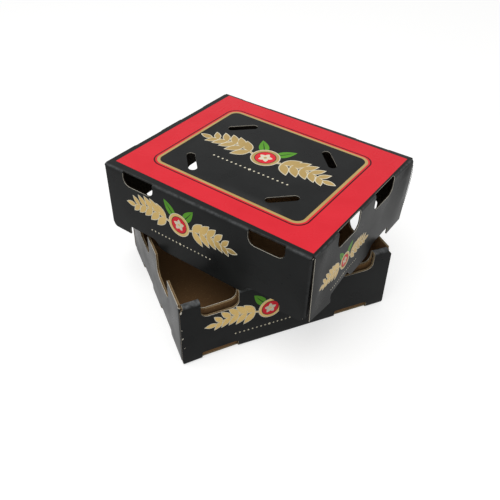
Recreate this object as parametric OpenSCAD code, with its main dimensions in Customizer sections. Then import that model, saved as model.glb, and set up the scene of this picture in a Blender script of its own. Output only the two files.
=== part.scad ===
// Two-piece gift box for cherries, die-cut from corrugated board and folded.
// The tray has rolled double walls on its long sides; the loose lid lies turned across its rim.
// Frame: origin at the centre of the tray's underside, X along its long side, Z up. Millimetres.

/* [Board] */
// Thickness of the tray's board
board = 3; // [2:0.1:4.5]
// Thickness of the lid's finer board
lid_board = 1.8; // [1.2:0.1:3]
// Inside radius of every fold
crease_r = 0.8; // [0.4:0.1:2]
// Gap left between two layers of board that lie side by side
play = 0.3; // [0.2:0.05:0.6]

/* [Lid] */
// Outside length of the lid
lid_l = 300; // [240:1:400]
// Outside width of the lid
lid_w = 248; // [200:1:340]
// Outside height of the lid
lid_h = 94; // [60:1:140]
// Clearance between the closed lid and the tray on each long side
lid_gap = 3.2; // [1:0.1:6]
// Clearance between the closed lid and the tray at each end
end_gap = 4.4; // [1:0.1:8]
// Length of the glue flaps behind the short walls
glue_flap = 44; // [30:1:46]
// How far the ends of the short walls stop short of the long walls
end_back = 5; // [2:0.5:10]
// Corner radius at the lower ends of the long walls
corner_r = 6; // [2:0.5:10]

/* [Lid top slots] */
// Length of a slot
slot_l = 41; // [20:1:50]
// Width of a slot
slot_w = 11; // [6:0.5:16]
// Slot centre from the middle, along the length
slot_x = 67; // [45:1:90]
// Slot centre from the middle, along the width
slot_y = 54; // [40:1:75]
// Turn of each slot across its corner, in degrees
slot_turn = 45; // [20:5:70]

/* [Cut-outs that line up on lid and tray] */
// Centre of the cut-outs in the long walls, from the middle
long_at = 93; // [80:1:100]
// Length of the cut-outs in the long walls
long_cut_l = 48; // [30:1:54]
// Centre of the cut-outs in the short walls, from the middle
short_at = 44; // [35:1:48]
// Length of the cut-outs in the short walls
short_cut_l = 50; // [30:1:56]
// Corner radius of the cut-outs
cut_r = 10; // [4:0.5:16]
// Depth of the lid's vents in the long walls, from the top
long_vent_d = 19; // [12:0.5:30]
// Depth of the lid's vents in the short walls, from the top
short_vent_d = 25; // [14:0.5:35]

/* [Lid lower edge] */
// Height of the notches beside the feet
notch_h = 12; // [6:0.5:20]
// Outer end of a long wall's notch, from the middle
long_notch_out = 115; // [104:1:122]
// Middle of the S-curve at its inner end, from the middle
long_notch_in = 67; // [50:1:76]
// Outer end of a short wall's notch, from the middle
short_notch_out = 78; // [66:1:79]
// Middle of the S-curve at its inner end, from the middle
short_notch_in = 27; // [16:1:40]
// Run of the S-curve
curve_run = 20; // [14:1:30]
// Corner radius at the outer end
notch_r = 4; // [1:0.5:6]

/* [Tray] */
// Height of the tray
tray_h = 97; // [70:1:140]
// Depth of the rim notches in the outer layer of the long walls
rim_notch_d = 25; // [12:0.5:36]
// How much shallower those notches are in the inner layer
inner_shy = 5; // [0:0.5:8]
// Depth of the rim notches in the short walls
short_notch_d = 33; // [16:0.5:44]
// Height of the notches at the foot of the walls
foot_notch_h = 11.5; // [6:0.5:18]
// Corner radius of the foot notches
foot_notch_r = 2; // [0.5:0.5:5]
// Corner radius at the lower ends of the long walls' outer layer
foot_r = 6; // [2:0.5:10]
// Length of the corner flaps tucked into the long walls
tuck_flap = 72; // [40:1:100]
// Width of the lock tabs under the inner layers
lock_w = 26; // [16:1:40]
// Lock tab centre from the middle
lock_at = 36; // [26:1:60]

/* [How the lid lies] */
// Turn of the lid about the vertical, in degrees
lid_turn = -58.35; // [-90:0.05:90]
// Lid centre from the tray's centre, along X
lid_x = 6.6; // [-20:0.1:20]
// Lid centre from the tray's centre, along Y
lid_y = -0.5; // [-20:0.1:20]

/* [Hidden] */
$fn = 64;
print_black = "#2b2e2e";
// outside radius of a fold in each board
fold_r = crease_r + board;
lid_fold_r = crease_r + lid_board;
// cutters reach this far past the board
past = 1;
// the lid's long walls lie between its short walls, with a glue flap behind each of those
tray_l = lid_l - 2 * (2 * lid_board + end_gap);
tray_w = lid_w - 2 * (lid_board + lid_gap);
// a rolled wall holds the outer layer, the tucked flap and the inner layer
wall_d = 3 * board + 2 * play;
// the rolled layer stops short of the short walls
roll_l = tray_l - 2 * (board + crease_r + play);
// half the straight run of a short tray wall, up to its corner folds
short_half = tray_w / 2 - board - play - fold_r;
// half the straight run of a long lid wall, up to its corner folds
long_half = lid_l / 2 - lid_board - lid_fold_r;
// level at which the lid's fold begins
lid_fold_z = lid_h - lid_fold_r;
// length of the tall part of a tucked flap, which stays out of the rim notch
tuck_tall = tray_l / 2 - fold_r - long_at - long_cut_l / 2 - 2 * play;
// lower edge of a tucked flap, and upper edge of its long part, out of sight below the rim notch
tuck_low = fold_r + play;
tuck_high = tray_h - rim_notch_d - 4 * board;
// radius of the two arcs of the S-curve
curve_r = (curve_run * curve_run + notch_h * notch_h) / (4 * notch_h);

// Flat outlines

// D-shaped cut-out hanging from the line y = 0, open upwards by a given height
module d_cut(l, d, r, up) {
    translate([-l / 2, r - d]) square([l, d - r + up]);
    translate([r - l / 2, -d]) square([l - 2 * r, d]);
    for (s = [-1, 1]) translate([s * (l / 2 - r), r - d]) circle(r);
}

// Slot with round ends
module slot(l, w) {
    square([l - w, w], center = true);
    for (s = [-1, 1]) translate([s * (l - w) / 2, 0]) circle(w / 2);
}

// Section of a fold of a given outside radius: a quarter ring in the quadrant of -x and -y
module fold_arc(r) {
    intersection() {
        difference() {
            circle(r);
            circle(crease_r);
        }
        translate([-r, -r]) square(r);
    }
}

// Upright panel standing on y = 0, with rounded lower and upper corners
module wall_outline(l, h, low_r, high_r) {
    translate([-l / 2, low_r]) square([l, h - low_r - high_r]);
    for (end = [[low_r, 0, low_r], [high_r, h - high_r, h - high_r]])
        if (end[0] > 0) {
            translate([end[0] - l / 2, end[1]]) square([l - 2 * end[0], end[0]]);
            for (s = [-1, 1]) translate([s * (l / 2 - end[0]), end[2]]) circle(end[0]);
        }
}

// Notch in the lower edge of a lid wall, on the side of +x: an S-curve, a flat and a square end
module edge_notch(notch_in, notch_out) {
    flat_at = notch_in + curve_run / 2;
    translate([notch_in - curve_run / 2, -past])
        difference() {
            square([curve_run / 2, notch_h / 2 + past]);
            translate([0, curve_r + past]) circle(curve_r);
        }
    intersection() {
        translate([notch_in, -past]) square([curve_run / 2, notch_h + past]);
        union() {
            translate([flat_at, notch_h - curve_r]) circle(curve_r);
            translate([notch_in, -past]) square([curve_run / 2, notch_h / 2 + past]);
        }
    }
    translate([flat_at, -past]) square([notch_out - flat_at - notch_r, notch_h + past]);
    translate([flat_at, -past]) square([notch_out - flat_at, notch_h + past - notch_r]);
    translate([notch_out - notch_r, notch_h - notch_r]) circle(notch_r);
}

// Sections, with x inward from the outer face and y upward

// Foot fold and outer layer of a rolled wall
module outer_layer_section() {
    translate([fold_r, fold_r]) fold_arc(fold_r);
    translate([0, fold_r]) square([board, tray_h - 2 * fold_r]);
}

// Rim folds and inner layer of a rolled wall
module rolled_layer_section() {
    translate([fold_r, tray_h - fold_r]) mirror([0, 1]) fold_arc(fold_r);
    translate([fold_r, tray_h - board]) square([wall_d - 2 * fold_r, board]);
    translate([wall_d - fold_r, tray_h - fold_r]) rotate(180) fold_arc(fold_r);
    translate([wall_d - board, board + play]) square([board, tray_h - fold_r - board - play]);
}

// Foot fold and single layer of a short tray wall
module short_wall_section() {
    translate([fold_r, fold_r]) fold_arc(fold_r);
    translate([0, fold_r]) square([board, tray_h - fold_r]);
}

// Placing helpers

// Runs a section along X, with the section's x along Y
module along_x(l) {
    translate([-l / 2, 0, 0]) rotate([90, 0, 90]) linear_extrude(l) children();
}

// Runs a section along Y, with the section's x along X
module along_y(l) {
    translate([0, l / 2, 0]) rotate([90, 0, 0]) linear_extrude(l) children();
}

// Stands an outline in the XZ plane and gives it depth towards +Y
module upright_x(depth) {
    translate([0, depth, 0]) rotate([90, 0, 0]) linear_extrude(depth) children();
}

// Stands an outline in the YZ plane and gives it depth towards +X
module upright_y(depth) {
    rotate([90, 0, 90]) linear_extrude(depth) children();
}

// The tray

// Corner flap that a short wall tucks between the layers of a long wall, from its fold along +X
module tuck_flap_board() {
    low_l = tuck_flap - fold_r;
    upright_x(board) {
        translate([0, tuck_low]) square([tuck_tall, tray_h - board - play - tuck_low]);
        translate([0, tuck_low]) square([low_l - cut_r, tuck_high - tuck_low]);
        translate([0, tuck_low]) square([low_l, tuck_high - tuck_low - cut_r]);
        translate([low_l - cut_r, tuck_high - cut_r]) circle(cut_r);
    }
}

// One rolled long wall, its outer face at y = -tray_w / 2
module rolled_wall() {
    translate([0, -tray_w / 2, 0]) {
        difference() {
            intersection() {
                along_x(tray_l) outer_layer_section();
                upright_x(fold_r)
                    wall_outline(tray_l, tray_h - fold_r, foot_r, (tray_l - roll_l) / 2);
            }
            for (s = [-1, 1]) translate([s * long_at, 0, 0]) {
                translate([0, -past, 0]) upright_x(past + fold_r)
                    mirror([0, 1])
                        d_cut(long_cut_l, foot_notch_h, foot_notch_r, past);
                translate([0, -past, tray_h]) upright_x(past + wall_d / 2)
                    d_cut(long_cut_l, rim_notch_d, cut_r, past);
            }
        }
        difference() {
            along_x(roll_l) rolled_layer_section();
            for (s = [-1, 1]) translate([s * long_at, 0, tray_h]) {
                translate([0, -past, 0]) upright_x(past + wall_d / 2)
                    d_cut(long_cut_l, rim_notch_d, cut_r, past);
                translate([0, wall_d / 2, 0]) upright_x(past + wall_d / 2)
                    d_cut(long_cut_l, rim_notch_d - inner_shy, cut_r, past);
            }
        }
        // lock tabs that reach through the floor
        for (s = [-1, 1])
            translate([s * lock_at - lock_w / 2, wall_d - board, 0])
                cube([lock_w, board, 2 * board]);
    }
}

// One short wall with its two tucked flaps, its outer face at x = -tray_l / 2
module short_wall() {
    translate([-tray_l / 2, 0, 0]) {
        difference() {
            along_y(2 * short_half) short_wall_section();
            for (s = [-1, 1]) translate([-past, s * short_at, 0]) {
                upright_y(past + fold_r) mirror([0, 1])
                    d_cut(short_cut_l, foot_notch_h, foot_notch_r, past);
                translate([0, 0, tray_h]) upright_y(past + fold_r)
                    d_cut(short_cut_l, short_notch_d, cut_r, past);
            }
        }
        for (s = [0, 1]) mirror([0, s, 0]) {
            translate([fold_r, -short_half, tuck_low])
                linear_extrude(tray_h - board - play - tuck_low) fold_arc(fold_r);
            translate([fold_r, -short_half - fold_r, 0]) tuck_flap_board();
        }
    }
}

// Floor, with the slots that take the lock tabs
module tray_floor() {
    slot_in = tray_w / 2 - wall_d - play;
    difference() {
        translate([fold_r - tray_l / 2, fold_r - tray_w / 2, 0])
            cube([tray_l - 2 * fold_r, tray_w - 2 * fold_r, board]);
        for (s = [-1, 1], m = [0, 1]) mirror([0, m, 0])
            translate([s * lock_at - lock_w / 2 - play, slot_in, -past])
                cube([lock_w + 2 * play, board + 2 * play, board + 2 * past]);
    }
}

module tray() {
    color(print_black) {
        tray_floor();
        for (m = [0, 1]) {
            mirror([0, m, 0]) rolled_wall();
            mirror([m, 0, 0]) short_wall();
        }
    }
}

// The lid, in its own frame: centred, its lower edge at z = 0

// Top panel with its four slots
module lid_top() {
    difference() {
        translate([0, 0, lid_h - lid_board]) linear_extrude(lid_board)
            square([lid_l - 2 * lid_fold_r, lid_w - 2 * lid_fold_r], center = true);
        for (sx = [-1, 1], sy = [-1, 1])
            translate([sx * slot_x, sy * slot_y, lid_h - lid_board - past])
                rotate(-sx * sy * slot_turn)
                    linear_extrude(lid_board + 2 * past) slot(slot_l, slot_w);
    }
}

// One long wall with its fold and two glue flaps, its outer face at y = -lid_w / 2
module lid_long_wall() {
    flap_h = lid_fold_z - play - corner_r;
    translate([0, -lid_w / 2, 0]) {
        difference() {
            union() {
                along_x(lid_l - 2 * lid_fold_r)
                    translate([lid_fold_r, lid_fold_z]) mirror([0, 1]) fold_arc(lid_fold_r);
                upright_x(lid_board) difference() {
                    wall_outline(2 * long_half, lid_fold_z, corner_r, 0);
                    for (m = [0, 1]) mirror([m, 0]) edge_notch(long_notch_in, long_notch_out);
                }
            }
            for (s = [-1, 1])
                translate([s * long_at, -past, lid_h]) upright_x(past + lid_fold_r)
                    d_cut(long_cut_l, long_vent_d, cut_r, past);
        }
        for (m = [0, 1]) mirror([m, 0, 0]) {
            translate([-long_half, lid_fold_r, corner_r])
                linear_extrude(flap_h) fold_arc(lid_fold_r);
            translate([-long_half - lid_fold_r, lid_fold_r, corner_r])
                cube([lid_board, glue_flap - lid_fold_r, flap_h]);
        }
    }
}

// One short wall with its fold, its outer face at x = -lid_l / 2
module lid_short_wall() {
    translate([-lid_l / 2, 0, 0]) difference() {
        along_y(lid_w - 2 * end_back) {
            square([lid_board, lid_fold_z]);
            translate([lid_fold_r, lid_fold_z]) mirror([0, 1]) fold_arc(lid_fold_r);
        }
        for (s = [-1, 1])
            translate([-past, s * short_at, lid_h]) upright_y(past + lid_fold_r)
                d_cut(short_cut_l, short_vent_d, cut_r, past);
        for (m = [0, 1]) mirror([0, m, 0])
            translate([-past, 0, 0]) upright_y(2 * past + lid_board)
                edge_notch(short_notch_in, short_notch_out);
    }
}

module lid() {
    color(print_black)
        translate([lid_x, lid_y, tray_h]) rotate(lid_turn) {
            lid_top();
            for (m = [0, 1]) {
                mirror([0, m, 0]) lid_long_wall();
                mirror([m, 0, 0]) lid_short_wall();
            }
        }
}

tray();
lid();
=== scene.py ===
# %% [markdown]
# # A gift box for cherries, folded from two printed blanks
# The box is two die-cut sheets of corrugated board. A tray stands on the table, and its loose lid lies
# turned across the rim. Each sheet is drawn flat, printed, given its fluted cut edges and only then folded.
# That is how the real one is made, and it keeps every cut-out and field of print in line across the folds.

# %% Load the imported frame
import math

import bpy
import numpy as np
from mathutils import Matrix, Vector
from mathutils.geometry import delaunay_2d_cdt


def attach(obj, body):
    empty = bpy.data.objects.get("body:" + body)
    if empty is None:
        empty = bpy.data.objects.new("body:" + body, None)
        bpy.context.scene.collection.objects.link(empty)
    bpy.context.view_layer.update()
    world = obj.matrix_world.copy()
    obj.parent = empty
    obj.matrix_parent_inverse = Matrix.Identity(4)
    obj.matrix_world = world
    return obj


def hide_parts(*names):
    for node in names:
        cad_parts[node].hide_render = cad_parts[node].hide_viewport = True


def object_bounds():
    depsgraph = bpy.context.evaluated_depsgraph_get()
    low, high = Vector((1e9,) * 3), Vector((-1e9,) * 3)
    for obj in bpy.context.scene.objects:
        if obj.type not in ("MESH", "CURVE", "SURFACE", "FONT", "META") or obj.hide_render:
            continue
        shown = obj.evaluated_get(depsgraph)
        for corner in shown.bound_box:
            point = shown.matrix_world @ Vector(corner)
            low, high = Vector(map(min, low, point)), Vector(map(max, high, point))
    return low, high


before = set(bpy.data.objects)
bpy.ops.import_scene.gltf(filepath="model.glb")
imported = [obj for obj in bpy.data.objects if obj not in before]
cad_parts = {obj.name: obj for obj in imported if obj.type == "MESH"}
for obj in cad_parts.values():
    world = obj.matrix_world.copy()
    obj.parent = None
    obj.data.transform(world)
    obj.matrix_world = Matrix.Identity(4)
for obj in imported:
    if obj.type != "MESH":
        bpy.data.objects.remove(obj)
cad_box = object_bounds()
MM = 0.001
cad_size = [round(v / MM, 1) for v in cad_box[1] - cad_box[0]]
print("nodes", sorted(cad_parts), "in a CAD box of", cad_size, "mm")

# %% [markdown]
# ## The camera
# The photo looks down on the box from the front left. A camera can be set by eye, but here its place was
# fitted to the box's corners: an azimuth, an elevation, a small roll and a distance from a point near the
# middle.

# %% Camera at the photo's place
IMAGE_PX = 500
FOCAL_PX = 582.6
SENSOR_WIDTH = 36.0
AZIMUTH, ELEVATION, ROLL = (math.radians(angle) for angle in (-23.83, 40.17, 1.71))
DISTANCE = 796.1 * MM
TARGET = Vector((-10.7, -14.1, 60.0)) * MM

towards = Vector((math.sin(AZIMUTH), -math.cos(AZIMUTH), 0.0))
level = Vector((math.cos(AZIMUTH), math.sin(AZIMUTH), 0.0))
back = towards * math.cos(ELEVATION) + Vector((0.0, 0.0, math.sin(ELEVATION)))
upright = back.cross(level)
right = level * math.cos(ROLL) + upright * math.sin(ROLL)
up = upright * math.cos(ROLL) - level * math.sin(ROLL)

camera = bpy.data.objects.new("camera", bpy.data.cameras.new("camera"))
camera.data.sensor_width = SENSOR_WIDTH
camera.data.lens = FOCAL_PX / IMAGE_PX * SENSOR_WIDTH
turned = Matrix((right, up, back)).transposed().to_4x4()
camera.matrix_world = Matrix.Translation(TARGET + back * DISTANCE) @ turned
bpy.context.scene.collection.objects.link(camera)
bpy.context.scene.camera = camera
print("camera at", [round(v, 3) for v in camera.matrix_world.translation])

# %% [markdown]
# ## One way to add a node, one way to write a colour
# A tree of nodes could be drawn by hand in Blender's editor, but a script shows every setting and can be run
# again. Every tree below, for shading and for shapes, is made with the same small function: it makes a node,
# sets it up and links what comes in. Colours are written as the eye sees them, in sRGB, and turned to linear
# light here.

# %% Helpers for nodes and colours
def add_node(tree, kind, inputs=None, **settings):
    node = tree.nodes.new(kind)
    for key, value in settings.items():
        setattr(node, key, value)
    for key, value in (inputs or {}).items():
        if isinstance(value, bpy.types.NodeSocket):
            tree.links.new(value, node.inputs[key])
        else:
            node.inputs[key].default_value = value
    return node


def linear(code):
    channels = [int(code[i:i + 2], 16) / 255 for i in (1, 3, 5)]
    return (*[c / 12.92 if c <= 0.04045 else ((c + 0.055) / 1.055) ** 2.4 for c in channels], 1.0)


print("mid grey", [round(c, 3) for c in linear("#808080")])

# %% [markdown]
# ## The floor
# The photo has a white ground. The floor is a plain pale sheet, and a touch of its own light makes it white
# to the camera. More lamp light would do that too, but it would wash out the box. It still takes the box's
# shadow.

# %% Floor
FLOOR_SIZE = 12.0
FLOOR_DROP = 0.3 * MM

scene = bpy.context.scene
scene.view_settings.view_transform = "Standard"

half = FLOOR_SIZE / 2
floor_corners = ((-half, -half), (half, -half), (half, half), (-half, half))
floor_mesh = bpy.data.meshes.new("floor")
floor_mesh.from_pydata([(x, y, -FLOOR_DROP) for x, y in floor_corners], [], [(0, 1, 2, 3)])
floor = bpy.data.objects.new("floor", floor_mesh)
scene.collection.objects.link(floor)
print("floor of", FLOOR_SIZE, "m,", round(FLOOR_DROP / MM, 1), "mm below the box")

# %% Paper of the floor
FLOOR_GLOW = 0.6
FLOOR_COLOUR, WHITE = "#BDBDBC", "#FFFFFF"


def seen_directly(tree):
    """One for what the camera sees, also in gloss or through glass, and zero for all other light."""
    ray = add_node(tree, "ShaderNodeLightPath").outputs
    direct = ray["Is Camera Ray"]
    for other in ("Is Glossy Ray", "Is Transmission Ray"):
        direct = add_node(tree, "ShaderNodeMath", {0: direct, 1: ray[other]}, operation="MAXIMUM").outputs[0]
    return direct


# Matte white paper: an even ground without gloss or grain, on which only the shadow shows
paper = bpy.data.materials.new("matte white paper sweep")
paper.use_nodes = True
tree = paper.node_tree
tree.nodes.clear()
glow = add_node(tree, "ShaderNodeMath", {0: seen_directly(tree), 1: FLOOR_GLOW}, operation="MULTIPLY")
matte = add_node(tree, "ShaderNodeBsdfDiffuse", {"Color": linear(FLOOR_COLOUR)})
lit = add_node(tree, "ShaderNodeEmission", {"Color": linear(WHITE), "Strength": glow.outputs[0]})
both = add_node(tree, "ShaderNodeAddShader", {0: matte.outputs[0], 1: lit.outputs[0]})
add_node(tree, "ShaderNodeOutputMaterial", {"Surface": both.outputs[0]})
floor_mesh.materials.append(paper)
print(paper.name, "with a glow of", FLOOR_GLOW)

# %% [markdown]
# ## Studio light
# The box was lit broadly and softly. The world gives even light from all round, and one large softbox from
# the upper left gives the top a little more. A sky texture would tint the black print, so the world is plain.

# %% World and softbox
WORLD_FILL = 0.64
SOFTBOX_SIZE, SOFTBOX_POWER = 1.3, 13.5
SOFTBOX_AT, SOFTBOX_AIM = Vector((-0.55, -0.35, 1.6)), Vector((0.0, 0.0, 0.1))

world = bpy.data.worlds.new("studio")
scene.world = world
world.use_nodes = True
tree = world.node_tree
tree.nodes.clear()
strength = add_node(tree, "ShaderNodeMapRange",
                    {"Value": seen_directly(tree), "To Min": WORLD_FILL, "To Max": 1.0}).outputs[0]
sky = add_node(tree, "ShaderNodeBackground", {"Color": linear(WHITE), "Strength": strength})
add_node(tree, "ShaderNodeOutputWorld", {"Surface": sky.outputs[0]})

softbox = bpy.data.objects.new("softbox", bpy.data.lights.new("softbox", "AREA"))
softbox.data.shape = "DISK"
softbox.data.size = SOFTBOX_SIZE
softbox.data.energy = SOFTBOX_POWER
softbox.location = SOFTBOX_AT
softbox.rotation_euler = (SOFTBOX_AIM - SOFTBOX_AT).to_track_quat("-Z", "Y").to_euler()
scene.collection.objects.link(softbox)
print("world fill", WORLD_FILL, "and a softbox of", SOFTBOX_POWER, "W")

# %% [markdown]
# ## Printed finishes
# The board's outer liner is coated, printed and varnished. The eye gets a semi-gloss film over flat ink, a
# slight unevenness of both, and a paler rub where a fold stretches the print. On the folds and the tray's rim
# that paler colour is also a painted highlight, for the sheen of light there. One material could hold every
# colour in a painted mask, but the edges of the print would blur. So each ink is its own material on its own
# faces, and one function makes them all, because they share the film. Patterns run on the map of the flat
# blank, in metres, so they turn with its walls.

# %% Colour of an ink, with its wear and painted sheen
MOTTLE_SIZE, RUB_SIZE = 38.0, 6.0
# How pale the rubs get: wear, and on folds and rim a painted sheen of light
RUB_LEAST, RUB_MOST = 0.12, 0.6
# Noise seldom leaves this range, so it is stretched to the full one
NOISE_RANGE = {"From Min": 0.35, "From Max": 0.7}


def ink_colour(tree, place, mottle, colour, thin, worn_and_lit):
    """Ink that lies unevenly, and paler where its sheet is marked: rubbed, and on folds and rim a painted
    sheen.
    """
    cover = add_node(tree, "ShaderNodeMapRange", {"Value": mottle, **NOISE_RANGE})
    laid = add_node(tree, "ShaderNodeMix",
                    {"Factor": cover.outputs[0], "A": linear(colour), "B": linear(thin)}, data_type="RGBA")
    rub = add_node(tree, "ShaderNodeTexNoise", {"Vector": place, "Scale": 1 / (RUB_SIZE * MM), "Detail": 6.0,
                                                "Roughness": 0.65}).outputs[0]
    rubbed = add_node(tree, "ShaderNodeMapRange", {"Value": rub, **NOISE_RANGE, "To Min": RUB_LEAST,
                                                   "To Max": RUB_MOST}).outputs[0]
    where = add_node(tree, "ShaderNodeAttribute", attribute_name="scuff_and_sheen").outputs["Fac"]
    amount = add_node(tree, "ShaderNodeMath", {0: rubbed, 1: where}, operation="MULTIPLY", use_clamp=True)
    shown = add_node(tree, "ShaderNodeMix", {"Factor": amount.outputs[0], "A": laid.outputs["Result"],
                                             "B": linear(worn_and_lit)}, data_type="RGBA")
    return shown.outputs["Result"]


print("ink with a mottle of", MOTTLE_SIZE, "mm and rubs of", RUB_SIZE, "mm")

# %% Film of varnish over an ink
FLAT_MAP = "blank"
# The liner's real grain is finer than this, and it is drawn as coarse as it needs to show
GRAIN_SIZE, GRAIN_DEPTH = 1.4, 0.004
# The photo's print mirrors little when it is seen from above, so its film has a low share of mirrored light
FILM_SPECULAR = 0.055
DULLER, SHINIER = 0.06, 0.05


def ink(name, colour, thin, worn_and_lit, roughness, metallic=0.0):
    material = bpy.data.materials.new(name)
    material.use_nodes = True
    tree = material.node_tree
    film = tree.nodes["Principled BSDF"]
    film.inputs["Metallic"].default_value = metallic
    film.inputs["Specular IOR Level"].default_value = FILM_SPECULAR
    place = add_node(tree, "ShaderNodeUVMap", uv_map=FLAT_MAP).outputs["UV"]
    mottle = add_node(tree, "ShaderNodeTexNoise",
                      {"Vector": place, "Scale": 1 / (MOTTLE_SIZE * MM), "Detail": 4.0}).outputs[0]
    base = ink_colour(tree, place, mottle, colour, thin, worn_and_lit)
    dull = add_node(tree, "ShaderNodeMapRange", {"Value": mottle, "From Min": 0.3, "From Max": 0.7,
                                                 "To Min": roughness - SHINIER, "To Max": roughness + DULLER})
    grain = add_node(tree, "ShaderNodeTexNoise",
                     {"Vector": place, "Scale": 1 / (GRAIN_SIZE * MM), "Detail": 3.0}).outputs[0]
    relief = add_node(tree, "ShaderNodeBump", {"Height": grain, "Distance": GRAIN_DEPTH * MM})
    tree.links.new(base, film.inputs["Base Color"])
    tree.links.new(dull.outputs[0], film.inputs["Roughness"])
    tree.links.new(relief.outputs[0], film.inputs["Normal"])
    return material


print("varnish with a grain of", GRAIN_SIZE, "mm, on the map", FLAT_MAP)

# %% Inks on the coated liner
# The last colour of each ink is its rubbed colour, which on folds and rim also paints a sheen of light
# Varnished offset black: deep and neutral, and it greys towards the floor's white at a glancing angle
black_ink = ink("varnished black ink", "#1B1C1C", "#212222", "#6A6C6D", 0.30)
# Varnished warm red: even and strong, so only the film's sheen varies on it
red_ink = ink("varnished red ink", "#DA2C38", "#D42834", "#D9938C", 0.27)
# Dark red overprint: the thin line that sets the red border off from its inner band
maroon_ink = ink("dark red overprint", "#471318", "#3E1014", "#8A5A55", 0.24)
# Hot-stamped gold foil: a metal skin that takes the liner's grain, so its glints are broad
gold_foil = ink("hot-stamped gold foil", "#BFA368", "#B4985D", "#8C7850", 0.34, metallic=1.0)
# Opaque cream ink: a chalky pale edge that sets the foil off from the black
cream_ink = ink("opaque cream ink", "#D9D2BC", "#D2CAB2", "#B9AE94", 0.40)
# Fresh green ink, a little uneven as in a process tint
green_ink = ink("process green ink", "#5F9E2F", "#4E8A2A", "#9DB07A", 0.30)
INKS = [black_ink, red_ink, maroon_ink, gold_foil, cream_ink, green_ink]
print("inks:", [m.name for m in INKS])

# %% [markdown]
# ## Kraft board
# Inside, the box is bare liner: dull, with fibres that run one way and flecks of paler pulp. It is
# brown kraft in the tray. In the lid it is drawn near black, as painted shade for the deep shade under the
# lid, and so are the lid's cut edges except for the outer liner's line. Where the die has cut the sheet, the
# raw edge is fuzzier and paler, and the outer liner shows there as a whitish line, because only its printed
# side is bleached. A plain brown would look moulded, so a noise that is stretched along one axis stands for
# the fibres, both in the colour and in the relief.

# %% Pulp with its fibres
# Real fibres are far finer, and they are drawn as wide as they need to show
FIBRE_WIDTH, FIBRE_STRETCH = 0.9, 0.25
FLECK_SIZE = 2.2
KRAFT_ROUGHNESS, KRAFT_SPECULAR = 0.88, 0.25


def kraft(name, colour, dark, pale, grain_depth):
    material = bpy.data.materials.new(name)
    material.use_nodes = True
    tree = material.node_tree
    pulp = tree.nodes["Principled BSDF"]
    pulp.inputs["Roughness"].default_value = KRAFT_ROUGHNESS
    pulp.inputs["Specular IOR Level"].default_value = KRAFT_SPECULAR
    place = add_node(tree, "ShaderNodeTexCoord").outputs["Object"]
    fibres = add_node(tree, "ShaderNodeMapping", {"Vector": place, "Scale": (1.0, 1.0, FIBRE_STRETCH)})
    strand = add_node(tree, "ShaderNodeTexNoise", {"Vector": fibres.outputs[0], "Detail": 5.0,
                                                   "Scale": 1 / (FIBRE_WIDTH * MM)}).outputs[0]
    shade = add_node(tree, "ShaderNodeMapRange", {"Value": strand, "From Min": 0.3, "From Max": 0.7})
    ground = add_node(tree, "ShaderNodeMix",
                      {"Factor": shade.outputs[0], "A": linear(dark), "B": linear(colour)}, data_type="RGBA")
    fleck = add_node(tree, "ShaderNodeTexNoise",
                     {"Vector": place, "Scale": 1 / (FLECK_SIZE * MM), "Detail": 2.0}).outputs[0]
    spots = add_node(tree, "ShaderNodeMapRange",
                     {"Value": fleck, "From Min": 0.62, "From Max": 0.72, "To Max": 0.6})
    mixed = add_node(tree, "ShaderNodeMix", {"Factor": spots.outputs[0], "A": ground.outputs["Result"],
                                             "B": linear(pale)}, data_type="RGBA")
    fuzz = add_node(tree, "ShaderNodeBump", {"Height": strand, "Distance": grain_depth * MM})
    tree.links.new(mixed.outputs["Result"], pulp.inputs["Base Color"])
    tree.links.new(fuzz.outputs[0], pulp.inputs["Normal"])
    return material


print("fibres of", FIBRE_WIDTH, "mm and flecks of", FLECK_SIZE, "mm")

# %% Kraft liners and cut edges
# Bare kraft liner: warm brown, matte, finely streaked
kraft_liner = kraft("bare kraft liner", "#785A39", "#684C2E", "#8C6E4B", 0.03)
# Near-black greyish brown, painted shade: it stands in for the deep shade inside the lid and in its cut edges
painted_shade_liner = kraft("painted shade liner", "#2A231C", "#211B15", "#382F26", 0.03)
# Die-cut kraft edge: paler torn fibre that catches the light along every outline
kraft_edge = kraft("die-cut kraft edge", "#A08C6B", "#8A7656", "#B3A17F", 0.06)
# Bleached liner edge: the thin whitish line that a cut leaves beside the print
pale_edge = kraft("bleached liner edge", "#CFCABD", "#BDB7A8", "#DCD8CD", 0.04)
FINISHES = INKS + [kraft_liner, painted_shade_liner, kraft_edge, pale_edge]
BLACK, RED, MAROON, GOLD, CREAM, GREEN, LINER, PAINTED_SHADE, EDGE, PALE = range(len(FINISHES))
print("board:", [m.name for m in FINISHES[LINER:]])

# %% [markdown]
# ## Outlines in the flat
# A blank's outline is a list of corners, each with the radius that the die rule gives it. Arcs could be drawn
# point by point, but a corner with a radius is what a packaging drawing shows, and one function rounds them
# all. Both blanks are symmetric, so a quarter is drawn and mirrored.

# %% Corners with radii
ARC_STEP, ARC_LEAST = 1.2, 3
# Far less than a die rule can hold: it keeps the end of an arc off the next corner
HAIR = 0.01


def rounded(corners):
    points = []
    for i, (x, y, radius) in enumerate(corners):
        if not radius:
            points.append((x, y))
            continue
        here = Vector((x, y))
        to_last = (Vector(corners[i - 1][:2]) - here).normalized()
        to_next = (Vector(corners[(i + 1) % len(corners)][:2]) - here).normalized()
        half_angle = to_last.angle(to_next) / 2
        centre = here + (to_last + to_next).normalized() * (radius / math.sin(half_angle))
        first = here + to_last * (radius / math.tan(half_angle)) - centre
        last = here + to_next * (radius / math.tan(half_angle)) - centre
        sweep = first.angle_signed(last)
        steps = max(ARC_LEAST, math.ceil(radius * abs(sweep) / ARC_STEP))
        start = math.atan2(first.y, first.x)
        points += [(centre.x + radius * math.cos(start - sweep * k / steps),
                    centre.y + radius * math.sin(start - sweep * k / steps)) for k in range(steps + 1)]
    return points


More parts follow.
